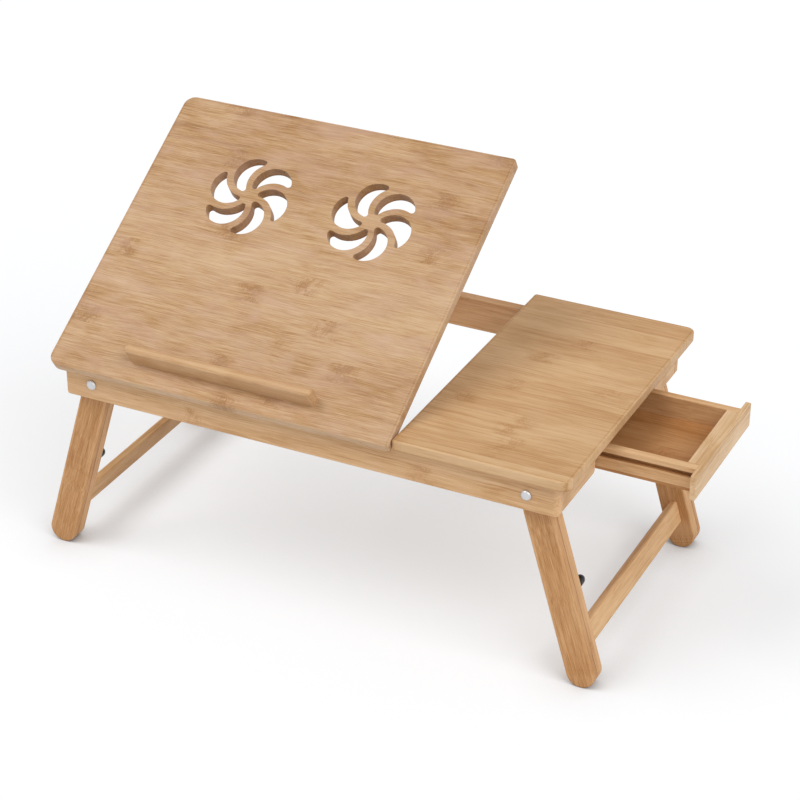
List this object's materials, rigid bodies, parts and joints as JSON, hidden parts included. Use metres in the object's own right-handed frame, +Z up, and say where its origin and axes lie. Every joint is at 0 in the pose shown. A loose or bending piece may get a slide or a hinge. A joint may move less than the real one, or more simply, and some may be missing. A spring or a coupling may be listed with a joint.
{
  "type": "laptop stand with drawer",
  "caption": "Folding bamboo lap desk with a raised tilting top, a ledge and pinwheel vents, beside a fixed top over an open drawer, on splayed extending legs.",
  "frame": {"origin": "middle of the footprint's box, at the level that the feet stand on, with the legs open but not extended, the top raised and the drawer open", "axes": "+X along the stand towards the drawer, +Y away from the user, +Z up"},
  "size_m": [0.6724, 0.342, 0.4056],
  "materials": {
    "bamboo_top": "clear satin lacquer",
    "bamboo_frame": "clear satin lacquer",
    "bamboo_legs": "clear satin lacquer",
    "bamboo_drawer": "clear satin lacquer",
    "bright_steel": "zinc plated",
    "brass_inserts": "turned",
    "black_plastic": "moulded, glossy"
  },
  "bodies": {
    "frame": {"front_apron": "bamboo_frame", "rear_apron": "bamboo_frame", "left_end_rail": "bamboo_frame", "right_front_block": "bamboo_frame", "right_rear_block": "bamboo_frame", "centre_rail": "bamboo_frame", "frame_dowels": "bamboo_frame", "fixed_top": "bamboo_top", "front_drawer_runner": "bamboo_frame", "rear_drawer_runner": "bamboo_frame", "hinge_lower_leaves": "bright_steel", "hinge_pins": "bright_steel", "leg_pivot_bolts": "bright_steel", "leg_pivot_nuts": "bright_steel", "leg_pivot_washers": "bright_steel", "stay_clamp_bolt": "bright_steel", "stay_guide_screw": "bright_steel", "stay_spacers": "bright_steel"},
    "top_assembly": {"tilting_top": "bamboo_top", "ledge_bar": "bamboo_top", "ledge_screws": "bright_steel", "hinge_upper_leaves": "bright_steel", "stay_brackets": "bright_steel", "stay_rivets": "bright_steel"},
    "left_stay": {"left_stay_arm": "bright_steel"},
    "right_stay": {"right_stay_arm": "bright_steel"},
    "stay_knob": {"stay_clamp_knob": "black_plastic"},
    "drawer": {"drawer_front_side": "bamboo_drawer", "drawer_rear_side": "bamboo_drawer", "drawer_front_wall": "bamboo_drawer", "drawer_back_wall": "bamboo_drawer", "drawer_bottom": "bamboo_drawer", "drawer_face": "bamboo_drawer"},
    "left_legs": {"left_front_outer_leg": "bamboo_legs", "left_rear_outer_leg": "bamboo_legs", "left_leg_insert": "brass_inserts", "left_leg_guide_pins": "bright_steel"},
    "left_leg_extension": {"left_front_sliding_leg": "bamboo_legs", "left_rear_sliding_leg": "bamboo_legs", "left_leg_brace": "bamboo_legs"},
    "left_front_knob": {"left_front_clamp_knob": "black_plastic", "left_front_clamp_stud": "bright_steel"},
    "right_legs": {"right_front_outer_leg": "bamboo_legs", "right_rear_outer_leg": "bamboo_legs", "right_leg_insert": "brass_inserts", "right_leg_guide_pins": "bright_steel"},
    "right_leg_extension": {"right_front_sliding_leg": "bamboo_legs", "right_rear_sliding_leg": "bamboo_legs", "right_leg_brace": "bamboo_legs"},
    "right_front_knob": {"right_front_clamp_knob": "black_plastic", "right_front_clamp_stud": "bright_steel"}
  },
  "joints": [
    {"name": "top_tilt", "type": "hinge", "parent": "frame", "child": "top_assembly", "pos_m": [-0.03147, -0.15938, 0.22302], "axis": [1, 0, 0], "range_deg": [-31.7, 0]},
    {"name": "left_stay_swing", "type": "hinge", "parent": "top_assembly", "child": "left_stay", "pos_m": [-0.28427, -0.01486, 0.30304], "axis": [1, 0, 0], "range_deg": [-17.59, 0]},
    {"name": "right_stay_swing", "type": "hinge", "parent": "top_assembly", "child": "right_stay", "pos_m": [-0.04367, -0.01486, 0.30304], "axis": [1, 0, 0], "range_deg": [-17.59, 0]},
    {"name": "stay_knob_turn", "type": "hinge", "parent": "frame", "child": "stay_knob", "pos_m": [-0.30147, -0.08438, 0.20802], "axis": [1, 0, 0], "range_deg": [0, 360]},
    {"name": "left_legs_fold", "type": "hinge", "parent": "frame", "child": "left_legs", "pos_m": [-0.26509, 0.00202, 0.20522], "axis": [0, -1, 0], "range_deg": [0, 106.5]},
    {"name": "left_legs_extend", "type": "slide", "parent": "left_legs", "child": "left_leg_extension", "axis": [0.284, 0, 0.9588], "range_m": [-0.055, 0]},
    {"name": "left_front_knob_turn", "type": "hinge", "parent": "left_legs", "child": "left_front_knob", "pos_m": [-0.29946, -0.12548, 0.0892], "axis": [0, 1, 0], "range_deg": [0, 360]},
    {"name": "right_legs_fold", "type": "hinge", "parent": "frame", "child": "right_legs", "pos_m": [0.20214, 0.00202, 0.20522], "axis": [0, 1, 0], "range_deg": [0, 106.5]},
    {"name": "right_legs_extend", "type": "slide", "parent": "right_legs", "child": "right_leg_extension", "axis": [-0.284, 0, 0.9588], "range_m": [-0.055, 0]},
    {"name": "right_front_knob_turn", "type": "hinge", "parent": "right_legs", "child": "right_front_knob", "pos_m": [0.23651, -0.12548, 0.0892], "axis": [0, 1, 0], "range_deg": [0, 360]},
    {"name": "drawer_slide", "type": "slide", "parent": "frame", "child": "drawer", "axis": [1, 0, 0], "range_m": [-0.0972, 0.02]}
  ],
  "couplings": [
    {"joint": "left_stay_swing", "follows": "top_tilt", "ratio": 0.55435},
    {"joint": "right_stay_swing", "follows": "top_tilt", "ratio": 0.55435}
  ]
}
